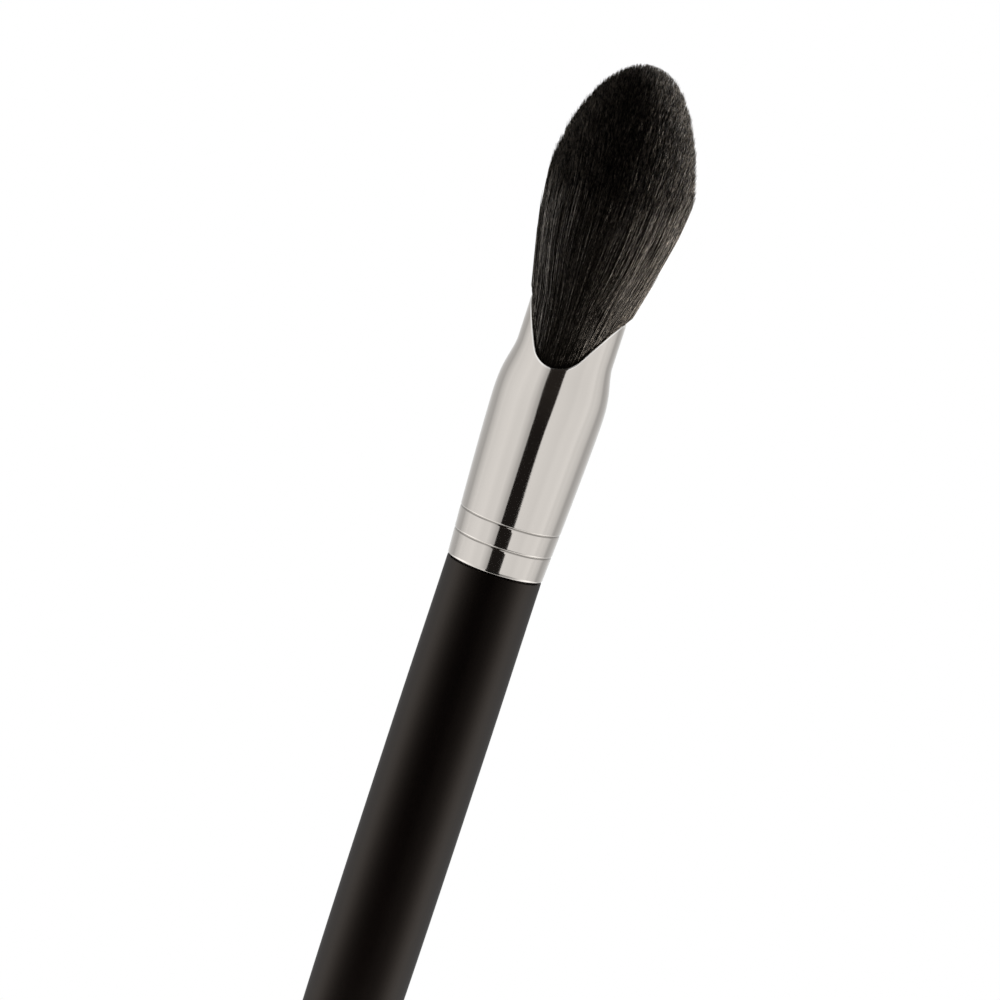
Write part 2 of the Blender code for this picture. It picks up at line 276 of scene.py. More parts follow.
# %% World
WHITE = (1, 1, 1, 1)
TENT_SHADES_FROM, TENT_SHADED_AT = 0.35, 0.85
TENT_TOP = 0.12
world = bpy.data.worlds.new("tent")
bpy.context.scene.world = world
world.use_nodes = True
tree = world.node_tree
tree.nodes.clear()
outward = node(tree, "TexCoord").outputs["Generated"]
sides = ramp(tree, direction_share(tree, outward), stops_of(TENT))
height = node(tree, "SeparateXYZ", {"Vector": outward}).outputs["Z"]
shading = ranged(tree, height, TENT_SHADES_FROM, TENT_SHADED_AT, 1.0, TENT_TOP, "SMOOTHSTEP")
sides = node(tree, "VectorMath", {0: sides, 3: shading}, operation="SCALE").outputs[0]
seen = node(tree, "LightPath").outputs["Is Camera Ray"]
colour = mixed(tree, seen, sides, WHITE)
light = node(tree, "Background", {"Color": colour, "Strength": 1.0})
node(tree, "OutputWorld", {"Surface": light.outputs[0]})
print("world nodes:", len(tree.nodes))

# %% [markdown]
# Polished metal would show the dark side as one broad dark band. On the real table a ring of white
# cards stands round the metal, and only a slit at the lens stays dark, which gives the metal its
# narrow dark stripe. Here the ring adds its light for the ferrule alone, through light linking.
# METAL_SEES says what the metal is to see in each direction, and the cards add what the tent lacks.

# %% Brightness of the ring of white cards
METAL_SEES = {
    -180: 0.20, -174: 0.25, -170: 0.80, -143: 0.60, -129: 0.56, -124: 0.53, -120: 0.57,
    -116: 0.68, -105: 0.83, -93: 0.90, -80: 0.945, -66: 0.99, -38: 0.95, -32: 0.82, -27: 0.73,
    -24: 0.62, -18: 0.53, -8: 0.50, 0: 1.0, 52: 0.955, 89: 0.875, 98: 0.82, 109: 0.79,
    113: 0.74, 119: 0.56, 124: 0.50, 128: 0.54, 143: 0.62, 170: 0.84, 174: 0.25, 180: 0.20,
}


def tent_at(degrees):
    known = sorted(TENT)
    return float(np.interp(degrees, known, [TENT[k] for k in known]))


card_light = {d: max(METAL_SEES[d] - tent_at(d), 0.0) for d in METAL_SEES}
print("brightest card:", round(max(card_light.values()), 2))

# %% [markdown]
# The slit is a little slanted: its edges move to the left as they go up, so the stripe jogs where
# the rolled grooves tilt the metal. Away from the slit the slant fades out.

# %% Where the cards leave the slit
CARD_TOP = 1.0
SLIT_LEFT = -17.5
SLIT_RIGHT = 10.3
SLIT_RIGHT_LOW, SLIT_RIGHT_HIGH = 13.8, 14.1
SLIT_FOOT, SLIT_BEND, SLIT_HIGH = 0.02, 0.124, 0.37
SLIT_SLANT = 18.0
SLANT_FULL, SLANT_GONE = 0.07, 0.20
card_finish = bpy.data.materials.new("white_card")
card_finish.use_nodes = True
card_finish.cycles.emission_sampling = "NONE"
tree = card_finish.node_tree
tree.nodes.clear()
place = node(tree, "TexCoord").outputs["Object"]
up = node(tree, "SeparateXYZ", {"Vector": place}).outputs["Z"]
round_share = direction_share(tree, place)
off_middle = math_node(tree, "SUBTRACT", round_share, 0.5)
aside = math_node(tree, "ABSOLUTE", off_middle)
near_slit = ranged(tree, aside, SLANT_FULL, SLANT_GONE, 1.0, 0.0)
slant = ranged(tree, up, SLIT_BEND, CARD_TOP, 0.0, SLIT_SLANT / 360)
slanted = math_node(tree, "MULTIPLY_ADD", slant, near_slit, round_share)
low_edge = ranged(tree, up, 0.0, SLIT_FOOT, SLIT_RIGHT_LOW, SLIT_RIGHT)
high_edge = ranged(tree, up, SLIT_BEND, SLIT_HIGH, SLIT_RIGHT, SLIT_RIGHT_HIGH)
right_edge = math_node(tree, "MAXIMUM", low_edge, high_edge)
right_edge = math_node(tree, "MULTIPLY_ADD", right_edge, 1 / 360, 0.5)
past_right = math_node(tree, "GREATER_THAN", slanted, right_edge)
past_left = math_node(tree, "LESS_THAN", slanted, SLIT_LEFT / 360 + 0.5)
card_here = math_node(tree, "MAXIMUM", past_left, past_right)
print("slit in degrees:", round(SLIT_RIGHT - SLIT_LEFT, 1))

# %% [markdown]
# The cards shine with card_light, and the slit has a faint warm glow that grows as it goes up. One
# more card lies flat under the brush and has a gap at the front too.

# %% Glow of the cards
CARD_NEAR = 0.40
CARD_BELOW = {
    -180: 0.6, -60: 0.75, -21: 0.75, -20: 0.0, 16: 0.0, 17: 0.25, 60: 0.45, 90: 0.7, 180: 0.6,
}
SLIT_DIM_HEIGHT, SLIT_WARM_HEIGHT = 0.05, 0.30
SLIT_DIM, SLIT_WARM = (0.0030, 0.0010, 0.0, 1), (0.0125, 0.0090, 0.0065, 1)
glow = ramp(tree, slanted, stops_of(card_light))
warmth = ranged(tree, up, SLIT_DIM_HEIGHT, SLIT_WARM_HEIGHT)
glow = mixed(tree, card_here, mixed(tree, warmth, SLIT_DIM, SLIT_WARM), glow)
reach = node(tree, "VectorMath", {0: place}, operation="LENGTH").outputs["Value"]
on_table = math_node(tree, "LESS_THAN", reach, CARD_NEAR)
below = ramp(tree, round_share, stops_of(CARD_BELOW))
glow = mixed(tree, on_table, glow, below)
shine = node(tree, "Emission", {"Color": glow, "Strength": 1.0}).outputs[0]
clear = node(tree, "BsdfTransparent").outputs[0]
both = node(tree, "AddShader", {0: shine, 1: clear}).outputs[0]
node(tree, "OutputMaterial", {"Surface": both})
print("card nodes:", len(tree.nodes))

# %% [markdown]
# The cards are one strip, spun round the brush. Only reflections see them: they cast no shadow, and
# light linking keeps their light on the metal.

# %% Bend the cards round the brush
CARD_RADIUS = 0.5
CARD_BOTTOM = 0.0005
WELD = 0.0001
profile = [(0, CARD_BOTTOM), (CARD_RADIUS, CARD_BOTTOM), (CARD_RADIUS, CARD_TOP)]
card_shape = bmesh.new()
corners = [card_shape.verts.new((0, -radius, height)) for radius, height in profile]
for first, second in zip(corners, corners[1:]):
    card_shape.edges.new((first, second))
strip = card_shape.verts[:] + card_shape.edges[:]
bmesh.ops.spin(card_shape, geom=strip, axis=(0, 0, 1), angle=math.tau, steps=128, use_merge=True)
bmesh.ops.remove_doubles(card_shape, verts=card_shape.verts, dist=WELD)
card_mesh = bpy.data.meshes.new("white_cards")
card_shape.to_mesh(card_mesh)
card_shape.free()
card_mesh.materials.append(card_finish)
cards = bpy.data.objects.new("white_cards", card_mesh)
bpy.context.scene.collection.objects.link(cards)
for kind in ("camera", "diffuse", "transmission", "volume_scatter", "shadow"):
    setattr(cards, "visible_" + kind, False)
metal_only = bpy.data.collections.new("lit_by_cards")
cards.light_linking.receiver_collection = metal_only
cards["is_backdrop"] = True
print("card faces:", len(card_mesh.polygons))

# %% [markdown]
# Soft lamps help the tent, and each is linked to what it is for. Two at the right, one of them low,
# model the hair, one behind it draws its upper rim, and a weaker low one keeps the left side from
# going flat. One more, high behind the brush, lights the table and draws the brush's shadow there.
# Metal and lacquer would only show them as glints.

# %% Soft lamps
# name, azimuth, elevation, distance, size and level
HAIR_LAMPS = (
    ("low_right_lamp", 90, -24, 0.40, 0.2, 3.2),
    ("right_lamp", 101, 5, 0.45, 0.25, 2.7),
    ("rim_lamp", 130, 31, 0.45, 0.2, 2.2),
    ("left_lamp", -110, -28, 0.38, 0.2, 1.9),
)
TABLE_LAMP = ("table_lamp", 150, 60, 1.0, 0.5, 1.25)


def soft_lamp(name, azimuth, elevation, distance, size, level):
    """A square lamp that faces the brush. At level 1 it lights white paper facing it to white."""
    angle = CAMERA_AZIMUTH + math.radians(azimuth)
    rise = math.radians(elevation)
    side, height = math.cos(rise), math.sin(rise)
    away = Vector((math.sin(angle) * side, -math.cos(angle) * side, height))
    data = bpy.data.lights.new(name, "AREA")
    data.size = size
    data.energy = level * math.pi**2 * distance**2
    lamp = bpy.data.objects.new(name, data)
    lamp.visible_camera = False
    bpy.context.scene.collection.objects.link(lamp)
    centre = Vector((0, 0, JOINT + FERRULE_LENGTH))
    facing = away.to_track_quat("Z", "Y").to_matrix().to_4x4()
    lamp.matrix_world = Matrix.Translation(centre + away * distance) @ facing
    return lamp


def light_only(name, *lamps):
    """Makes the collection of pieces that these lamps light, still empty."""
    lit = bpy.data.collections.new(name)
    for lamp in lamps:
        lamp.light_linking.receiver_collection = lit
    return lit


hair_only = light_only("lit_hair", *(soft_lamp(*lamp) for lamp in HAIR_LAMPS))
table_only = light_only("lit_table", soft_lamp(*TABLE_LAMP))
print("lamps:", len(bpy.data.lights))

# %% [markdown]
# The floor is a pale disc. Near the brush it is lit and keeps the shadow. Farther out the camera
# sees it as plain white, so that it melts into the background, and to the brush it is as bright as
# the tent.

# %% Finish of the floor
PAPER = (0.88, 0.88, 0.87, 1)
PAPER_ENDS, WHITE_BEGINS = 0.05, 0.155
floor_finish = bpy.data.materials.new("pale_floor")
floor_finish.use_nodes = True
floor_finish.cycles.emission_sampling = "NONE"
tree = floor_finish.node_tree
tree.nodes.clear()
place = node(tree, "TexCoord").outputs["Object"]
distance = node(tree, "VectorMath", {0: place}, operation="LENGTH").outputs["Value"]
far = ranged(tree, distance, PAPER_ENDS, WHITE_BEGINS, curve="SMOOTHSTEP")
path = node(tree, "LightPath").outputs
seen = math_node(tree, "MAXIMUM", path["Is Camera Ray"], path["Is Transmission Ray"])
around = ramp(tree, direction_share(tree, place), stops_of(TENT))
backdrop = mixed(tree, seen, around, WHITE)
reflected = math_node(tree, "MAXIMUM", path["Is Diffuse Ray"], path["Is Glossy Ray"])
shown = math_node(tree, "MAXIMUM", seen, reflected)
amount = math_node(tree, "MULTIPLY", far, shown)
paper = node(tree, "BsdfDiffuse", {"Color": PAPER}).outputs[0]
white = node(tree, "Emission", {"Color": backdrop}).outputs[0]
both = node(tree, "MixShader", {0: amount, 1: paper, 2: white}).outputs[0]
node(tree, "OutputMaterial", {"Surface": both})
print("floor nodes:", len(tree.nodes))

# %% Floor disc
FLOOR_RADIUS = 0.45
FLOOR_DROP = 0.0001
floor_shape = bmesh.new()
bmesh.ops.create_circle(floor_shape, cap_ends=True, segments=96, radius=FLOOR_RADIUS)
bmesh.ops.translate(floor_shape, verts=floor_shape.verts, vec=(0, 0, -FLOOR_DROP))
floor_mesh = bpy.data.meshes.new("floor")
floor_shape.to_mesh(floor_mesh)
floor_shape.free()
floor_mesh.materials.append(floor_finish)
floor = bpy.data.objects.new("floor", floor_mesh)
bpy.context.scene.collection.objects.link(floor)
floor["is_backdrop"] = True
table_only.objects.link(floor)
print("floor across in m:", 2 * FLOOR_RADIUS)

# %% [markdown]
# Finishes of the real brush come next. All patterns read the piece's own Object coordinates, in
# metres. These helpers start a finish, lay a noise pattern on it and raise its surface a little.


# %% Finish helpers
def new_finish(name):
    made = bpy.data.materials.new(name)
    made.use_nodes = True
    return made, made.node_tree, made.node_tree.nodes["Principled BSDF"]


def noise(tree, scale, detail=2.0, stretch=(1, 1, 1)):
    """A noise pattern on the piece's own coordinates. Scale is in patches per metre."""
    place = node(tree, "TexCoord").outputs["Object"]
    mapped = node(tree, "Mapping", {"Vector": place, "Scale": stretch}).outputs[0]
    pattern = {"Vector": mapped, "Scale": scale, "Detail": detail}
    return node(tree, "TexNoise", pattern).outputs["Fac"]


def height_on_brush(tree):
    place = node(tree, "TexCoord").outputs["Object"]
    return node(tree, "SeparateXYZ", {"Vector": place}).outputs["Z"]


def attribute(tree, name):
    return node(tree, "Attribute", attribute_name=name).outputs["Fac"]


def wire(tree, shader, name, socket):
    tree.links.new(socket, shader.inputs[name])


def raise_surface(tree, shader, pattern, strength, depth=0.0001):
    """Shades the surface as if it rose where the pattern is high."""
    bump = node(tree, "Bump", {"Height": pattern, "Strength": strength, "Distance": depth})
    wire(tree, shader, "Normal", bump.outputs[0])


# %% [markdown]
# The lacquer is sprayed on the wood and rubbed to a satin: almost black, with a faint orange-peel
# ripple and slightly rougher patches where fingers hold it.

# %% Satin black lacquer
LACQUER_DEEP, LACQUER_WORN = (0.0078, 0.0045, 0.0040, 1), (0.0102, 0.0064, 0.0057, 1)
lacquer, tree, shader = new_finish("satin_black_lacquer")
patches = noise(tree, 90, 3)
wire(tree, shader, "Base Color", mixed(tree, patches, LACQUER_DEEP, LACQUER_WORN))
wire(tree, shader, "Roughness", ranged(tree, patches, 0.0, 1.0, 0.26, 0.32))
raise_surface(tree, shader, noise(tree, 1800, 1), 0.06)
shader.inputs["Specular IOR Level"].default_value = 0.5
shader.inputs["Specular Tint"].default_value = (1.0, 0.85, 0.73, 1)
print(lacquer.name, "has", len(tree.nodes), "nodes")

# %% [markdown]
# The ferrule is plated and polished, so it is a mirror with very fine polishing lines round it and
# a hardly visible haze. Its colour is painted darker along the two rolled grooves, painted shade
# that makes them two thin dark lines. The rounded rim of the mouth has a painted highlight: its
# colour is lighter there, by a share that its points carry as an attribute.

# %% Polished nickel
NICKEL_HAZY, NICKEL_CLEAR = (0.650, 0.612, 0.572, 1), (0.668, 0.632, 0.592, 1)
RIM_HIGHLIGHT, GROOVE_SHADE = (0.95, 0.93, 0.90, 1), (0.10, 0.09, 0.08, 1)
CRIMP_HEIGHTS = (0.004, 0.0076)
GROOVE_SHADE_FULL, GROOVE_SHADE_GONE = 0.00005, 0.00021
GROOVE_SHADE_COVER = 0.6
nickel, tree, shader = new_finish("polished_nickel")
shader.inputs["Metallic"].default_value = 1.0
haze = noise(tree, 120, 3)
plate = mixed(tree, haze, NICKEL_HAZY, NICKEL_CLEAR)
up = height_on_brush(tree)
# Painted shade: near the middle of each rolled groove the base colour turns dark.
groove_shade = 0.0
for middle in CRIMP_HEIGHTS:
    away = math_node(tree, "ABSOLUTE", math_node(tree, "SUBTRACT", up, JOINT + middle))
    near = ranged(tree, away, GROOVE_SHADE_FULL, GROOVE_SHADE_GONE, GROOVE_SHADE_COVER, 0.0)
    groove_shade = math_node(tree, "MAXIMUM", near, groove_shade)
# Painted highlight: at the rim of the mouth the base colour turns light.
plate = mixed(tree, attribute(tree, "painted_rim_highlight"), plate, RIM_HIGHLIGHT)
wire(tree, shader, "Base Color", mixed(tree, groove_shade, plate, GROOVE_SHADE))
clean = ranged(tree, haze, 0.0, 1.0, 0.05, 0.10)
wire(tree, shader, "Roughness", ranged(tree, groove_shade, 0.0, 1.0, clean, 0.16))
raise_surface(tree, shader, noise(tree, 300, 2, (1, 1, 40)), 0.015)
print(nickel.name, "has", len(tree.nodes), "nodes")

# %% [markdown]
# Each hair has its own shade, stored on its faces as the attribute "shade", and the number of its
# wisp as the attribute "wisp". A noise that runs along each wisp makes it lighter and darker on its
# way, as hair that turns in the light. Black and slightly brown hairs together read as natural
# black hair. In the lower half of the head the hairs lie closer and their tones are more alike.

# %% Black hair
HAIR_BLACK, HAIR_BROWN = (0.0028, 0.0022, 0.0018, 1), (0.168, 0.142, 0.114, 1)
HAIR_MEAN = (0.034, 0.028, 0.022, 1)
TURNS_PER_METRE = 1600.0
WISP_STEP, HAIR_STEP = 900.0, 9.0
SHADE_SHARE, TURN_SHARE = 0.43, 0.74
TURN_DARK, TURN_LIGHT = 0.30, 0.70
TONE_BLACK, TONE_BROWN = 0.48, 0.95
EVEN_BELOW, UNEVEN_ABOVE = 0.054, 0.068
EVEN_SHARE = 0.50
hair_finish, tree, shader = new_finish("black_hair")
shade = attribute(tree, "shade")
wisp_share = attribute(tree, "wisp")
up = height_on_brush(tree)
along = math_node(tree, "MULTIPLY", up, TURNS_PER_METRE)
own = math_node(tree, "MULTIPLY", wisp_share, WISP_STEP)
single = math_node(tree, "MULTIPLY", shade, HAIR_STEP)
way = node(tree, "CombineXYZ", {"X": own, "Y": single, "Z": along}).outputs[0]
lit = node(tree, "TexNoise", {"Vector": way, "Scale": 1.0, "Detail": 1.0}).outputs["Fac"]
lit = ranged(tree, lit, TURN_DARK, TURN_LIGHT)
tone = math_node(tree, "MULTIPLY", shade, SHADE_SHARE)
tone = math_node(tree, "MULTIPLY_ADD", lit, TURN_SHARE, tone)
tone = ranged(tree, tone, TONE_BLACK, TONE_BROWN, curve="SMOOTHSTEP")
hair_colour = mixed(tree, tone, HAIR_BLACK, HAIR_BROWN)
even_from, even_to = JOINT + EVEN_BELOW, JOINT + UNEVEN_ABOVE
even = ranged(tree, up, even_from, even_to, EVEN_SHARE, 0.0, "SMOOTHSTEP")
wire(tree, shader, "Base Color", mixed(tree, even, hair_colour, HAIR_MEAN))
wire(tree, shader, "Roughness", ranged(tree, tone, 0.0, 1.0, 0.60, 0.40))
raise_surface(tree, shader, noise(tree, 9000, 1, (1, 1, 0.25)), 0.1, 0.00001)
shader.inputs["Specular IOR Level"].default_value = 0.15
shader.inputs["Specular Tint"].default_value = (1.0, 0.87, 0.74, 1)
print(hair_finish.name, "has", len(tree.nodes), "nodes")

# %% [markdown]
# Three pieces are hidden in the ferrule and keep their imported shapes: the cement round the handle's
# tenon, the resin that holds the hair roots, and the waxed thread that binds them.


# %% Cement, resin and thread
def uneven_finish(name, first, second, spots, bumps, strength, roughness):
    """Two colours in spots on an uneven surface. Spots and bumps are settings of the noise."""
    made, tree, shader = new_finish(name)
    wire(tree, shader, "Base Color", mixed(tree, noise(tree, *spots), first, second))
    raise_surface(tree, shader, noise(tree, *bumps), strength)
    shader.inputs["Roughness"].default_value = roughness
    return made


cement = uneven_finish("white_cement", (0.60, 0.57, 0.50, 1), (0.80, 0.78, 0.72, 1),
                       (2500, 4), (6000, 4), 0.4, 0.75)
resin = uneven_finish("amber_resin", (0.36, 0.20, 0.06, 1), (0.52, 0.34, 0.15, 1),
                      (400, 2), (900, 2), 0.15, 0.22)
thread = uneven_finish("waxed_thread", (0.62, 0.56, 0.45, 1), (0.82, 0.77, 0.68, 1),
                       (3000, 3, (1, 1, 3)), (9000, 2, (1, 1, 4)), 0.5, 0.7)
for name, finish in (("tenon_cement", cement), ("root_resin", resin), ("binding_thread", thread)):
    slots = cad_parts[name].data.materials
    slots.clear()
    slots.append(finish)
print("finishes:", ", ".join(sorted(m.name for m in bpy.data.materials)))

# %% [markdown]
# Handle, ferrule and root are turned on a lathe, and so are their meshes. A bmesh starts from the
# outline as a chain of edges, and the spin operator turns it into a body. Sharp circles are then
# bevelled, because no real edge is perfectly sharp.

# %% Lathe helpers
SAME_POINT = 0.000001
ON_RING = 0.00001


def lathe(outline, steps):
    """A bmesh spun from an outline of (radius, height), from axis to axis or closed."""
    shape = bmesh.new()
    points = [shape.verts.new((radius, 0, height)) for radius, height in outline]
    for first, second in zip(points, points[1:]):
        shape.edges.new((first, second))
    if outline[0][0] > 0:
        shape.edges.new((points[-1], points[0]))
    chain = shape.verts[:] + shape.edges[:]
    bmesh.ops.spin(shape, geom=chain, axis=(0, 0, 1), angle=math.tau, steps=steps, use_merge=True)
    bmesh.ops.remove_doubles(shape, verts=shape.verts, dist=SAME_POINT)
    bmesh.ops.recalc_face_normals(shape, faces=shape.faces)
    return shape


def bevel_rings(shape, rings, width, segments=3):
    """Rounds the circles of edges at these (radius, height) places."""
    def on_ring(vertex, ring):
        at_radius = abs(vertex.co.xy.length - ring[0]) < ON_RING
        return at_radius and abs(vertex.co.z - ring[1]) < ON_RING

    def chosen(edge):
        return any(on_ring(edge.verts[0], ring) and on_ring(edge.verts[1], ring) for ring in rings)

    edges = [edge for edge in shape.edges if chosen(edge)]
    bmesh.ops.bevel(shape, geom=edges, offset=width, segments=segments, profile=0.5,
                    affect="EDGES", material=-1)
    return len(edges)


# %% Finished piece helper
def finish_piece(name, shape, finish, slot, *nodes):
    """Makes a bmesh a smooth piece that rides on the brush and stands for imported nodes."""
    mesh = bpy.data.meshes.new(name)
    shape.to_mesh(mesh)
    shape.free()
    mesh.shade_smooth()
    mesh.materials.append(finish)
    piece = bpy.data.objects.new(name, mesh)
    bpy.context.scene.collection.objects.link(piece)
    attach(piece, "root")
    if finish is hair_finish:
        hair_only.objects.link(piece)
    if nodes:
        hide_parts(*nodes)
    mesh.calc_loop_triangles()
    print(f"{name}: {len(mesh.loop_triangles)} triangles")
    return piece


# %% [markdown]
# The handle has a tenon at its top, which goes up inside the ferrule, and a rounded end with a
# small flat face to stand on.

# %% Turned handle
TENON_RADIUS = 0.00675
TENON_TOP = 0.1423
END_ROUND = 0.0035
END_FACE_RADIUS = 0.0026
TENON_BEVEL, TOP_BEVEL = 0.0005, 0.00012
HANDLE_SIDES = 128
SHARP_ANGLE = math.radians(50)
upper_rows = np.linspace(HANDLE_LENGTH, GRIP_HEIGHT, 9)
lower_rows = np.linspace(GRIP_HEIGHT, END_ROUND, 41)[1:]
outline = [(0, TENON_TOP), (TENON_RADIUS, TENON_TOP), (TENON_RADIUS, HANDLE_LENGTH)]
for height in np.concatenate([upper_rows, lower_rows]):
    outline.append((float(handle_radius(height)), float(height)))
side = float(handle_radius(END_ROUND))
for angle in np.linspace(math.pi / 2, 0, 13)[1:]:
    radius = blend(END_FACE_RADIUS, side, math.sin(angle))
    outline.append((radius, END_ROUND * (1 - math.cos(angle))))
outline.append((0, 0))
shape = lathe(outline, HANDLE_SIDES)
edges = bevel_rings(shape, [(TENON_RADIUS, TENON_TOP)], TENON_BEVEL)
edges += bevel_rings(shape, [(float(handle_radius(HANDLE_LENGTH)), HANDLE_LENGTH)], TOP_BEVEL)
print("handle edges bevelled:", edges)
handle = finish_piece("turned_handle", shape, lacquer, "lacquered_wood", "handle")
handle.data.set_sharp_from_angle(angle=SHARP_ANGLE)

# %% [markdown]
# The ferrule is a drawn tube. It is spun as a closed ring, outer wall and inner wall, with the two
# rolled grooves in its outline, and the four circles of its ends are bevelled.

# %% Spin the tube
FERRULE_WALL = 0.00045
CRIMP_WIDTH = 0.0005
CRIMP_DEPTH = 0.00012
END_BEVEL, RIM_BEVEL = 0.00015, 0.00021
TUBE_SIDES, TUBE_ROWS, GROOVE_ROWS = 180, 96, 13
INNER_RADIUS = BELLY_RADIUS - FERRULE_WALL


def grooved(height):
    """How deep the rolled grooves are at a height."""
    total = 0.0
    for middle in CRIMP_HEIGHTS:
        away = abs(height - middle) / (CRIMP_WIDTH / 2)
        if away < 1:
            total += CRIMP_DEPTH * (1 + math.cos(math.pi * away)) / 2
    return total


heights = set(np.linspace(0.0, FERRULE_LENGTH, TUBE_ROWS))
for middle in CRIMP_HEIGHTS:
    low, high = middle - CRIMP_WIDTH / 2, middle + CRIMP_WIDTH / 2
    heights |= set(np.linspace(low, high, GROOVE_ROWS))
heights = sorted(float(h) for h in heights)
outer = [(BELLY_RADIUS - grooved(h), h) for h in heights]
inner = [(INNER_RADIUS - grooved(h), h) for h in heights]
shape = lathe(outer[::-1] + inner, TUBE_SIDES)
ends = [(BELLY_RADIUS, 0.0), (INNER_RADIUS, 0.0)]
rims = [(BELLY_RADIUS, FERRULE_LENGTH), (INNER_RADIUS, FERRULE_LENGTH)]
print("ferrule edges bevelled:",
      bevel_rings(shape, ends, END_BEVEL), bevel_rings(shape, rims, RIM_BEVEL, 5))

# %% [markdown]
# Now the tube is drawn to its outline. The points of its upper part also slide down along the wall,
# so that those of the rim reach the scalloped curve. A Boolean cut would be quicker to write, but
# it breaks the even faces that mirror metal needs.

# %% Draw the tube to its outline and its rim to the scallops
RIM_START = 0.024
RIM_STIFF = 0.001
RIM_HIGHLIGHT_FADE, RIM_HIGHLIGHT_REACH = 0.00012, 2.6
spots = np.array([vertex.co for vertex in shape.verts])
tube_height = spots[:, 2]
out = np.hypot(spots[:, 0], spots[:, 1])
drop = FERRULE_LENGTH - mouth_rim(spots[:, 0] / out * NECK_RADIUS)
share = np.clip((tube_height - RIM_START) / (FERRULE_LENGTH - RIM_STIFF - RIM_START), 0, 1)
height = tube_height - drop * share
scale = (ferrule_radius(height) - (BELLY_RADIUS - out)) / out
drawn = [spots[:, 0] * scale, spots[:, 1] * scale * pinch(height), height + JOINT]
# Painted highlight: points at the top of the tube get the share that lightens the rim's colour.
rim_highlight_share = smoothstep((tube_height - FERRULE_LENGTH) / RIM_HIGHLIGHT_FADE + RIM_HIGHLIGHT_REACH)
rim_highlight_layer = shape.verts.layers.float.new("painted_rim_highlight")
for vertex, spot, shine in zip(shape.verts, np.stack(drawn, axis=1), rim_highlight_share):
    vertex.co = spot
    vertex[rim_highlight_layer] = shine
bmesh.ops.recalc_face_normals(shape, faces=shape.faces)
ferrule = finish_piece("ferrule_shell", shape, nickel, "polished_nickel", "ferrule")
metal_only.objects.link(ferrule)

# %% [markdown]
# The head is made of hairs that rise from the ferrule. In the real brush the bundle is bound and
# glued at its root, pressed oval by the ferrule's mouth, and spreads like a fan above it. A hair
# that starts near the middle ends high on the dome, and one that starts at the rim ends at the
# widest place. So each hair is placed by where it ends on the dome, and its way down follows from
# that. Heights of the head's outline and of the hairs' ends are counted from the tips of the
# tongues.

# %% Outline of the head and of its fan
FULL_RADIUS = 0.01105
FULL_HEIGHT = 0.0197
FULL_LENGTH = 0.0387
LOWER_EASE = 1.31
POINT_EASE = 1.57
FAN_START = 0.011
FAN_BULGE = 0.0002


def head_radius(height):
    """Half the head's width at a height above the tongues."""
    to_full = 1 - np.clip(1 - height / FULL_HEIGHT, 0, 1) ** LOWER_EASE
    lower = blend(NECK_RADIUS, FULL_RADIUS, to_full)
    share = np.clip((height - FULL_HEIGHT) / (FULL_LENGTH - FULL_HEIGHT), 0, 1)
    return np.where(height < FULL_HEIGHT, lower, FULL_RADIUS * np.sqrt(1 - share**POINT_EASE))


def fan_radius(height):
    """Half the width of the fan, as if none of its hairs ended."""
    start = float(head_radius(FAN_START))
    share = (height - FAN_START) / (FULL_HEIGHT - FAN_START)
    bulge = FAN_BULGE * np.sin(math.pi * np.clip(share, 0, 1))
    above = blend(start, FULL_RADIUS, share) + bulge
    return np.where(height < FAN_START, head_radius(height), above)


print("head radius low, full and near the tip in mm:",
      [round(float(head_radius(h)) * 1000, 2) for h in (0.0, FULL_HEIGHT, 0.035)])

# %% [markdown]
# The ends are spread evenly over the dome's area. The depth of a hair says where it lies in the
# bundle: 0 is its middle and 1 its surface. About half of the outermost hairs are shorter and end
# on the head's side, and a few of these fly a little above the surface, which softens the outline.

# %% Where the hairs end
random = np.random.default_rng(11)
HAIRS = 36000
LOCKS = 9
DOME_START = 0.0150
SIDE_DEPTH, SHORT_DEPTH = 0.05, 0.03
OUTER_DEPTH = 0.82
SHORT_SHARE = 0.52
SHORT_LOWEST, SHORT_HIGHEST, SHORT_EASE = 0.003, 0.0270, 0.75
FLYING_SHARE, FLYING_REACH = 0.05, 0.065
rise = np.linspace(DOME_START, FULL_LENGTH, 800)
width = head_radius(rise)
ring = np.hypot(np.diff(rise), np.diff(width)) * (width[1:] + width[:-1]) / 2
area = np.concatenate([[0], np.cumsum(ring)])
end_height = np.interp((np.arange(HAIRS) + random.random(HAIRS)) / HAIRS * area[-1], area, rise)
end_angle = random.random(HAIRS) * math.tau
depth = head_radius(end_height) / fan_radius(end_height)
depth = np.where(end_height < FULL_HEIGHT, 1 - SIDE_DEPTH * random.random(HAIRS), depth)
short = (depth > OUTER_DEPTH) & (random.random(HAIRS) < SHORT_SHARE)
short_end = blend(SHORT_LOWEST, SHORT_HIGHEST, random.random(HAIRS) ** SHORT_EASE)
end_height = np.where(short, short_end, end_height)
surface = np.minimum(head_radius(end_height) / fan_radius(end_height), 1)
depth = np.where(short, surface * (1.0 - SHORT_DEPTH * random.random(HAIRS)), depth)
flying = short & (random.random(HAIRS) < FLYING_SHARE)
depth = depth + np.where(flying, FLYING_REACH * random.random(HAIRS), 0.0)
print("dome area in square mm:", round(float(area[-1]) * math.tau * 1e6))
print("hairs:", HAIRS, "short:", int(short.sum()), "flying:", int(flying.sum()))

# %% [markdown]
# Hair never lies evenly. It gathers in small wisps, and the grooves between wisps are the fine
# streaks that show on the sides. Each hair leans towards the middle of the nearest wisp, more so
# near its end, and also strays a little on its own, so that hairs come up to the surface and dive
# again. A search tree finds the nearest wisp fast.

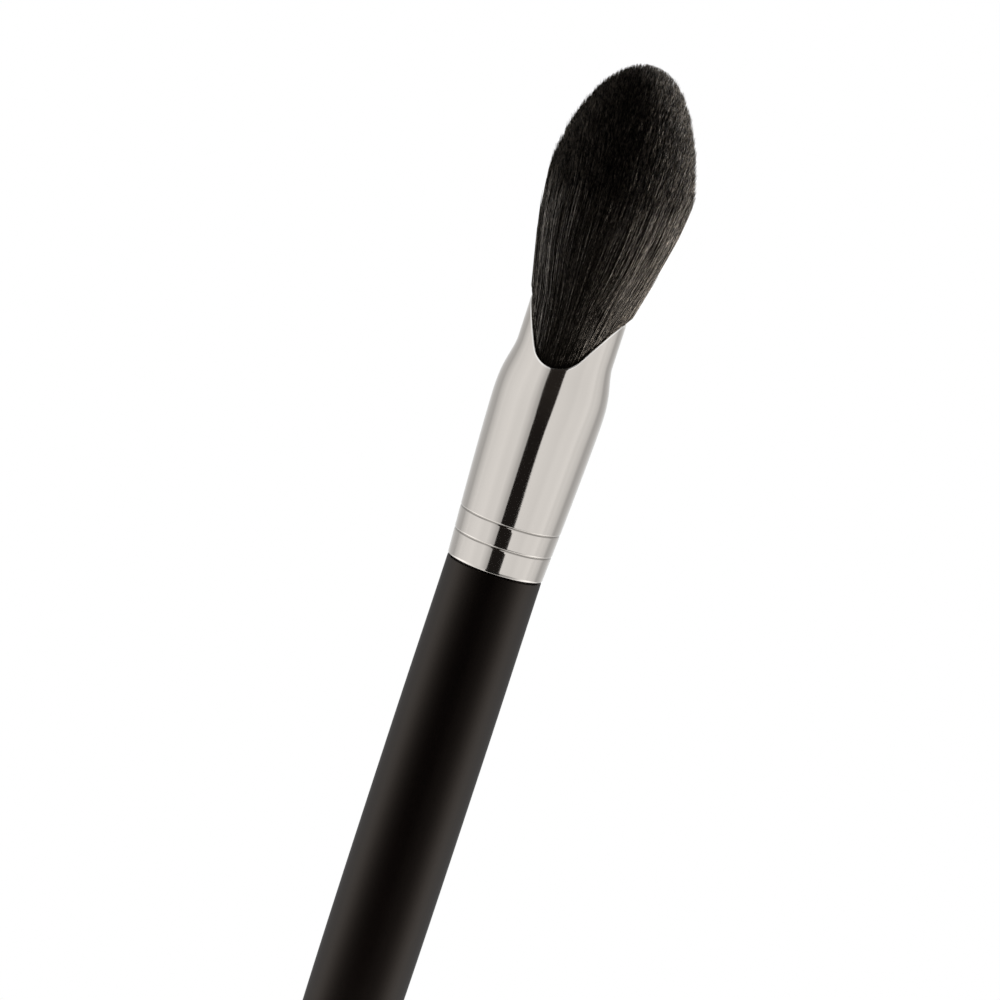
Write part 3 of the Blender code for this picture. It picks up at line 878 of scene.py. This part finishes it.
# %% Gather the hairs in wisps
WISPS = 4500
WISP_PULL = 0.7
WISP_SWAY = 0.006
WISP_RISE = 0.00004
END_JITTER = 0.00012
WISP_TONE, OWN_TONE = 0.55, 0.45
disc = np.stack([depth * np.cos(end_angle), depth * np.sin(end_angle)], axis=1)
wisp_angle = random.random(WISPS) * math.tau
wisp_depth = np.sqrt(random.random(WISPS))
wisp_place = np.stack([wisp_depth * np.cos(wisp_angle), wisp_depth * np.sin(wisp_angle)], axis=1)
finder = KDTree(WISPS)
for index, (x, y) in enumerate(wisp_place):
    finder.insert((x, y, 0), index)
finder.balance()
wisp = np.array([finder.find((x, y, 0))[1] for x, y in disc])
wisp_pull = WISP_PULL * random.random(WISPS)
pull = (wisp_place[wisp] - disc) * wisp_pull[wisp][:, None]
wisp_rise = random.normal(0, WISP_RISE, WISPS)
wisp_sway = random.normal(0, WISP_SWAY, (WISPS, 2))
end_height = end_height + wisp_rise[wisp] - np.abs(random.normal(0, END_JITTER, HAIRS))
wisp_shade = random.random(WISPS)
hair_shade = np.clip(WISP_TONE * wisp_shade[wisp] + OWN_TONE * random.random(HAIRS), 0, 1)
wisp_number = wisp / WISPS
print("hairs in a wisp, on average:", HAIRS / WISPS)

# %% [markdown]
# In front and at the back the rim is low, so there the hair is free sooner and spreads sideways
# too, from the bottom of each scallop. The bundle leans a little to the sides on its way up, as the
# real one does. From here on heights are counted from the ferrule's lower edge again.

# %% The surface of the bundle
ROOT_RADIUS = 0.00588
ROOT_TOP = 0.030
SPREAD = 0.45
SPREAD_END = 0.054
IN_MOUTH = 0.00706
IN_MOUTH_RISE = 0.0025
RIM_CLEAR, RIM_BULGE = 0.0001, 0.0012
FAN_MARGIN = 0.00008
TONGUE_SLOPE = 0.03
# height, and how far the bundle's middle leans there in millimetres
LEAN = (
    (0.040, 0.0), (0.048, 0.05), (0.055, 0.14), (0.062, 0.19), (0.066, 0.01), (0.070, -0.29),
    (0.0755, -0.55), (0.082, -0.60),
)


def bundle_radius(angle, height):
    """Half the bundle's width in one direction, before it is pressed oval."""
    rim = mouth_rim(np.cos(angle) * NECK_RADIUS)
    held = blend(ROOT_RADIUS / PINCH, IN_MOUTH, smoothstep((height - ROOT_TOP) / IN_MOUTH_RISE))
    over_tips = height - FERRULE_LENGTH
    fan = fan_radius(np.maximum(over_tips, 0)) + FAN_MARGIN
    free = np.where(over_tips > 0, fan, NECK_RADIUS + over_tips * TONGUE_SLOPE)
    return blend(held, free, smoothstep((height - rim - RIM_CLEAR) / RIM_BULGE))


print("bundle radius at the mouth and full in mm:",
      [round(float(bundle_radius(0.0, h)) * 1000, 2) for h in (0.032, 0.061)])

# %% [markdown]
# A place in the unit disc and a height give a point of a hair. Hairs that stray out of the bundle
# are held close to its surface, and looser in the upper half.

# %% From the disc to the bundle
LOOSE, LOOSE_GIVE = 0.022, 0.75
FLYAWAY = 0.04
FLYAWAY_START, FLYAWAY_RISE = 0.046, 0.012
FLAT_LEAD = 0.002


def place_at(disc_place, height):
    """The point of a hair at a height, from its place in the unit disc."""
    angle = np.arctan2(disc_place[:, 1], disc_place[:, 0])
    loose = LOOSE + FLYAWAY * smoothstep((height - FLYAWAY_START) / FLYAWAY_RISE)
    out = np.hypot(disc_place[:, 0], disc_place[:, 1])
    out = np.minimum(out, 1 + np.minimum(LOOSE_GIVE * (out - 1), loose))
    gather = 1 - smoothstep((height - ROOT_TOP) / (SPREAD_END - ROOT_TOP))
    angle = angle + SPREAD / 2 * gather * np.sin(2 * angle)
    radius = out * bundle_radius(angle, height)
    flat = blend(1.0, PINCH, smoothstep((height - ROOT_TOP + FLAT_LEAD) / IN_MOUTH_RISE))
    lean = np.interp(height, [h for h, _ in LEAN], [millimetres / 1000 for _, millimetres in LEAN])
    across, deep = radius * np.cos(angle) + lean, radius * np.sin(angle) * flat
    return np.stack([across, deep, height + JOINT], axis=1)


# %% [markdown]
# The way of a hair goes through eight stations: the root block, the rim of the mouth, the free
# bulge above the rim, three places on the way up, the start of its taper and its tip.

# %% Stations of every hair
STRAY = 0.014
IN_ROOT = 0.0001
RIM_SPREAD = 0.8
FREE_ABOVE_RIM = 0.0013
ON_THE_WAY = (0.33, 0.62, 0.83)
SHORTEST_WAY = 0.0015
TAPER_LENGTH = 0.0018
GATHER_START, GATHER_RISE = 0.034, 0.014
EARLY_END, EARLY_FALL = 0.062, 0.012
LATE_START, LATE_RISE = 0.046, 0.018


def hair_ways(disc_place, pull, sway, top):
    """Places of all hairs at all stations: an array of hairs, stations and coordinates."""
    count = len(top)
    angle = np.arctan2(disc_place[:, 1], disc_place[:, 0])
    spread_angle = angle + SPREAD / 2 * RIM_SPREAD * np.sin(2 * angle)
    rim = mouth_rim(np.cos(spread_angle) * NECK_RADIUS)
    end = top + FERRULE_LENGTH
    taper = end - TAPER_LENGTH
    start = np.minimum(rim + FREE_ABOVE_RIM, taper - SHORTEST_WAY)
    stations = [np.full(count, ROOT_TOP - IN_ROOT), rim, start]
    stations += [blend(start, taper, share) for share in ON_THE_WAY]
    stations += [taper, end]
    first, second = random.normal(0, STRAY, (2, count, 2))
    ways = []
    for height in stations:
        gathered = smoothstep((height - GATHER_START) / GATHER_RISE)[:, None]
        early = gathered * smoothstep((EARLY_END - height) / EARLY_FALL)[:, None]
        late = smoothstep((height - LATE_START) / LATE_RISE)[:, None]
        strayed = disc_place + pull * gathered + first * early + (second + sway) * late
        ways.append(place_at(strayed, height))
    return np.stack(ways, axis=1)


ways = hair_ways(disc, pull, wisp_sway[wisp], end_height)
print("ways:", ways.shape, "highest tip in mm:", round(float(ways[:, :, 2].max()) * 1000, 1))

# %% [markdown]
# One hair starts as a three-sided disc. The operator extrude_discrete_faces pushes every disc of a
# lock on at once, and each new end is moved to its next station and scaled. A face attribute
# carries the hair's number along, because the operator copies it to the new faces.

# %% Grow a lock of hair
HAIR_RADIUS = 0.000048
THICKNESS = (0.8, 0.9, 1.0, 1.0, 1.0, 1.0, 0.9, 0.35)


def start_discs(lock, count):
    """Makes equal three-sided discs: one, then its copy, then copies of both, until enough."""
    radius = HAIR_RADIUS * THICKNESS[0]
    bmesh.ops.create_circle(lock, cap_ends=True, segments=3, radius=radius)
    while len(lock.faces) < count:
        bmesh.ops.duplicate(lock, geom=lock.faces[: count - len(lock.faces)])
    return lock.faces[:]


def grow_lock(name, ways, shades, wisps, twists):
    lock = bmesh.new()
    number = lock.faces.layers.int.new("hair")
    shade_of = lock.faces.layers.float.new("shade")
    wisp_of = lock.faces.layers.float.new("wisp")
    faces = start_discs(lock, len(ways))
    for index, face in enumerate(faces):
        face[number] = index
        face[shade_of] = shades[index]
        face[wisp_of] = wisps[index]
        spot = Matrix.Translation(ways[index, 0]) @ Matrix.Rotation(twists[index], 4, "Z")
        for vertex in face.verts:
            vertex.co = spot @ vertex.co
    for station in range(1, ways.shape[1]):
        grown = THICKNESS[station] / THICKNESS[station - 1]
        targets = [Vector(spot) for spot in ways[:, station]]
        faces = bmesh.ops.extrude_discrete_faces(lock, faces=faces)["faces"]
        for face in faces:
            target = targets[face[number]]
            middle = face.calc_center_median()
            for vertex in face.verts:
                vertex.co = target + (vertex.co - middle) * grown
    open_ends = [edge for edge in lock.edges if len(edge.link_faces) == 1]
    bmesh.ops.holes_fill(lock, edges=open_ends, sides=3)
    return finish_piece(name, lock, hair_finish, "black_hair")


# %% All locks
twists = random.random(HAIRS) * math.tau
lock_of = ((end_angle / math.tau) * LOCKS).astype(int)
for index in range(LOCKS):
    mine = lock_of == index
    grow_lock(f"hair_lock_{index + 1}", ways[mine], hair_shade[mine], wisp_number[mine],
              twists[mine])

# %% [markdown]
# Under the locks sits the root end of the tuft, soaked with resin: the hairs rise from its top
# face.

# %% Root end of the tuft
ROOT_BOTTOM = 0.022
ROOT_BEVEL = 0.0002
top, bottom = JOINT + ROOT_TOP, JOINT + ROOT_BOTTOM
shape = lathe([(0, top), (ROOT_RADIUS, top), (ROOT_RADIUS, bottom), (0, bottom)], 64)
bevel_rings(shape, [(ROOT_RADIUS, top), (ROOT_RADIUS, bottom)], ROOT_BEVEL)
finish_piece("tuft_root", shape, hair_finish, "black_hair", "bristles")

# %% [markdown]
# The last cell prints how large the dressed brush is.

# %% Size of the dressed brush
low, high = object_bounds()
print("dressed size in mm:", [round(side * 1000, 1) for side in high - low])
